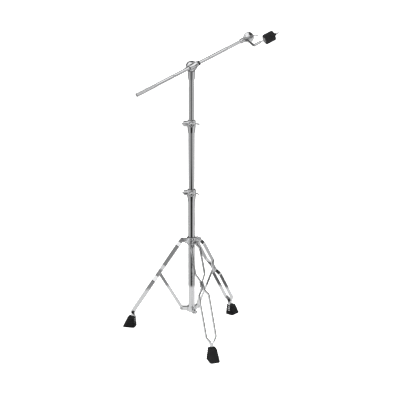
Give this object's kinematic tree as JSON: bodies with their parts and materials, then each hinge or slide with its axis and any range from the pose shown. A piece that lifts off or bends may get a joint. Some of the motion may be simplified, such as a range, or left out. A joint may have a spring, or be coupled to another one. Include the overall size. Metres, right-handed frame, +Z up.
{
  "type": "cymbal boom stand",
  "caption": "Folding double-braced tripod stand with telescoping chrome tubes, a tilting boom arm and a cymbal tilter with felts and wing nuts.",
  "frame": {"origin": "centre of the stand's bounding box, on the floor", "axes": "+X along the boom towards the cymbal end, +Y away from the side that the boom passes on, +Z up the pole"},
  "size_m": [0.5634, 0.4432, 1.1184],
  "materials": {
    "chrome": "polished",
    "steel": "satin",
    "black_rubber": "matte",
    "black_felt": "matte",
    "black_nylon": "satin"
  },
  "bodies": {
    "base": {"base_tube": "chrome", "base_tube_plug": "black_rubber", "brace_hub": "chrome", "hub_pins": "steel", "lower_clamp": "chrome", "lower_key_screw": "steel"},
    "lower_wing": {"lower_wing_bolt": "chrome"},
    "lower_swivel": {"lower_bushing": "black_nylon"},
    "middle": {"middle_tube": "chrome", "upper_clamp": "chrome", "upper_key_screw": "steel"},
    "upper_wing": {"upper_wing_bolt": "chrome"},
    "upper_swivel": {"upper_bushing": "black_nylon"},
    "upper": {"upper_tube": "chrome", "tilter_receiver": "chrome", "tilter_washer": "steel"},
    "saddle": {"tilter_saddle": "chrome", "tilter_bolt": "steel"},
    "tilter_wing": {"tilter_wing_nut": "chrome"},
    "boom_roller": {"boom_bushing": "black_nylon"},
    "boom": {"boom_rod": "chrome", "boom_end_plug": "black_rubber", "cymbal_tilter_head": "chrome", "cymbal_tilter_bolt": "steel"},
    "cymbal_tilter_wing": {"cymbal_tilter_wing_nut": "chrome"},
    "cymbal_arm": {"cymbal_tilter_arm": "chrome", "cymbal_rod": "chrome", "cup_washer": "steel", "cymbal_sleeve": "black_nylon", "lower_felt": "black_felt", "upper_felt": "black_felt"},
    "cymbal_wing": {"cymbal_wing_nut": "black_nylon"},
    "collar": {"leg_collar": "chrome", "leg_collar_liner": "black_nylon", "leg_collar_pins": "steel"},
    "collar_wing": {"leg_collar_wing_bolt": "chrome"},
    "brace_1": {"brace_1": "chrome"},
    "leg_1": {"leg_1_left_bar": "chrome", "leg_1_right_bar": "chrome", "leg_1_rubber_foot": "black_rubber", "leg_1_knee_rivet": "steel"},
    "brace_2": {"brace_2": "chrome"},
    "leg_2": {"leg_2_left_bar": "chrome", "leg_2_right_bar": "chrome", "leg_2_rubber_foot": "black_rubber", "leg_2_knee_rivet": "steel"},
    "brace_3": {"brace_3": "chrome"},
    "leg_3": {"leg_3_left_bar": "chrome", "leg_3_right_bar": "chrome", "leg_3_rubber_foot": "black_rubber", "leg_3_knee_rivet": "steel"}
  },
  "joints": [
    {"name": "tripod_fold", "type": "hinge", "parent": "base", "child": "brace_1", "pos_m": [-0.02842, 0.01572, 0.094], "axis": [0.9969, 0.0785, 0], "range_deg": [-29, 8]},
    {"name": "brace_2_fold", "type": "hinge", "parent": "base", "child": "brace_2", "pos_m": [-0.00008, 0.07512, 0.094], "axis": [-0.5664, 0.8241, 0], "range_deg": [-29, 8]},
    {"name": "brace_3_fold", "type": "hinge", "parent": "base", "child": "brace_3", "pos_m": [-0.0657, 0.06996, 0.094], "axis": [-0.4305, -0.9026, 0], "range_deg": [-29, 8]},
    {"name": "leg_1_knee", "type": "hinge", "parent": "brace_1", "child": "leg_1", "pos_m": [-0.02151, -0.07201, 0.2285], "axis": [0.9969, 0.0785, 0], "range_deg": [-16, 58]},
    {"name": "leg_2_knee", "type": "hinge", "parent": "brace_2", "child": "leg_2", "pos_m": [0.07244, 0.12497, 0.2285], "axis": [-0.5664, 0.8241, 0], "range_deg": [-16, 58]},
    {"name": "leg_3_knee", "type": "hinge", "parent": "brace_3", "child": "leg_3", "pos_m": [-0.14513, 0.10784, 0.2285], "axis": [-0.4305, -0.9026, 0], "range_deg": [-16, 58]},
    {"name": "collar_lift", "type": "hinge", "parent": "leg_1", "child": "collar", "pos_m": [-0.02842, 0.01572, 0.363], "axis": [0.9969, 0.0785, 0], "range_deg": [-29, 8]},
    {"name": "lower_wing_turn", "type": "hinge", "parent": "base", "child": "lower_wing", "pos_m": [-0.03621, 0.03275, 0.544], "axis": [-0.225, -0.9744, 0], "continuous": true},
    {"name": "lower_swivel", "type": "hinge", "parent": "base", "child": "lower_swivel", "pos_m": [-0.0314, 0.0536, 0.545], "axis": [0, 0, 1], "continuous": true},
    {"name": "middle_height", "type": "slide", "parent": "lower_swivel", "child": "middle", "axis": [0, 0, 1], "range_m": [-0.185, 0.12]},
    {"name": "upper_wing_turn", "type": "hinge", "parent": "middle", "child": "upper_wing", "pos_m": [-0.03621, 0.03275, 0.795], "axis": [-0.225, -0.9744, 0], "continuous": true},
    {"name": "upper_swivel", "type": "hinge", "parent": "middle", "child": "upper_swivel", "pos_m": [-0.0314, 0.0536, 0.796], "axis": [0, 0, 1], "continuous": true},
    {"name": "upper_height", "type": "slide", "parent": "upper_swivel", "child": "upper", "axis": [0, 0, 1], "range_m": [-0.135, 0.15]},
    {"name": "boom_tilt", "type": "hinge", "parent": "upper", "child": "saddle", "pos_m": [-0.0314, 0.0276, 0.996], "axis": [0, -1, 0], "range_deg": [-56, 48]},
    {"name": "tilter_wing_turn", "type": "hinge", "parent": "saddle", "child": "tilter_wing", "pos_m": [-0.0314, 0.0661, 0.996], "axis": [0, 1, 0], "continuous": true},
    {"name": "boom_roll", "type": "hinge", "parent": "saddle", "child": "boom_roller", "pos_m": [-0.0314, 0.0276, 0.996], "axis": [0.8965, 0, 0.4431], "continuous": true},
    {"name": "boom_slide", "type": "slide", "parent": "boom_roller", "child": "boom", "axis": [0.8965, 0, 0.4431], "range_m": [-0.1, 0.15]},
    {"name": "cymbal_tilt", "type": "hinge", "parent": "boom", "child": "cymbal_arm", "pos_m": [0.16852, 0.0266, 1.0948], "axis": [0, -1, 0], "range_deg": [-45, 110]},
    {"name": "cymbal_tilter_wing_turn", "type": "hinge", "parent": "boom", "child": "cymbal_tilter_wing", "pos_m": [0.16852, 0.0178, 1.0948], "axis": [0, -1, 0], "continuous": true},
    {"name": "cymbal_wing_turn", "type": "hinge", "parent": "cymbal_arm", "child": "cymbal_wing", "pos_m": [0.25826, 0.0222, 1.10235], "axis": [0.8965, 0, 0.4431], "continuous": true},
    {"name": "collar_wing_turn", "type": "hinge", "parent": "collar", "child": "collar_wing", "pos_m": [-0.05124, 0.03997, 0.363], "axis": [-0.8241, -0.5664, 0], "continuous": true}
  ],
  "couplings": [
    {"joint": "brace_2_fold", "follows": "tripod_fold", "ratio": 1},
    {"joint": "brace_3_fold", "follows": "tripod_fold", "ratio": 1},
    {"joint": "leg_1_knee", "follows": "tripod_fold", "ratio": -2},
    {"joint": "leg_2_knee", "follows": "tripod_fold", "ratio": -2},
    {"joint": "leg_3_knee", "follows": "tripod_fold", "ratio": -2},
    {"joint": "collar_lift", "follows": "tripod_fold", "ratio": 1}
  ]
}
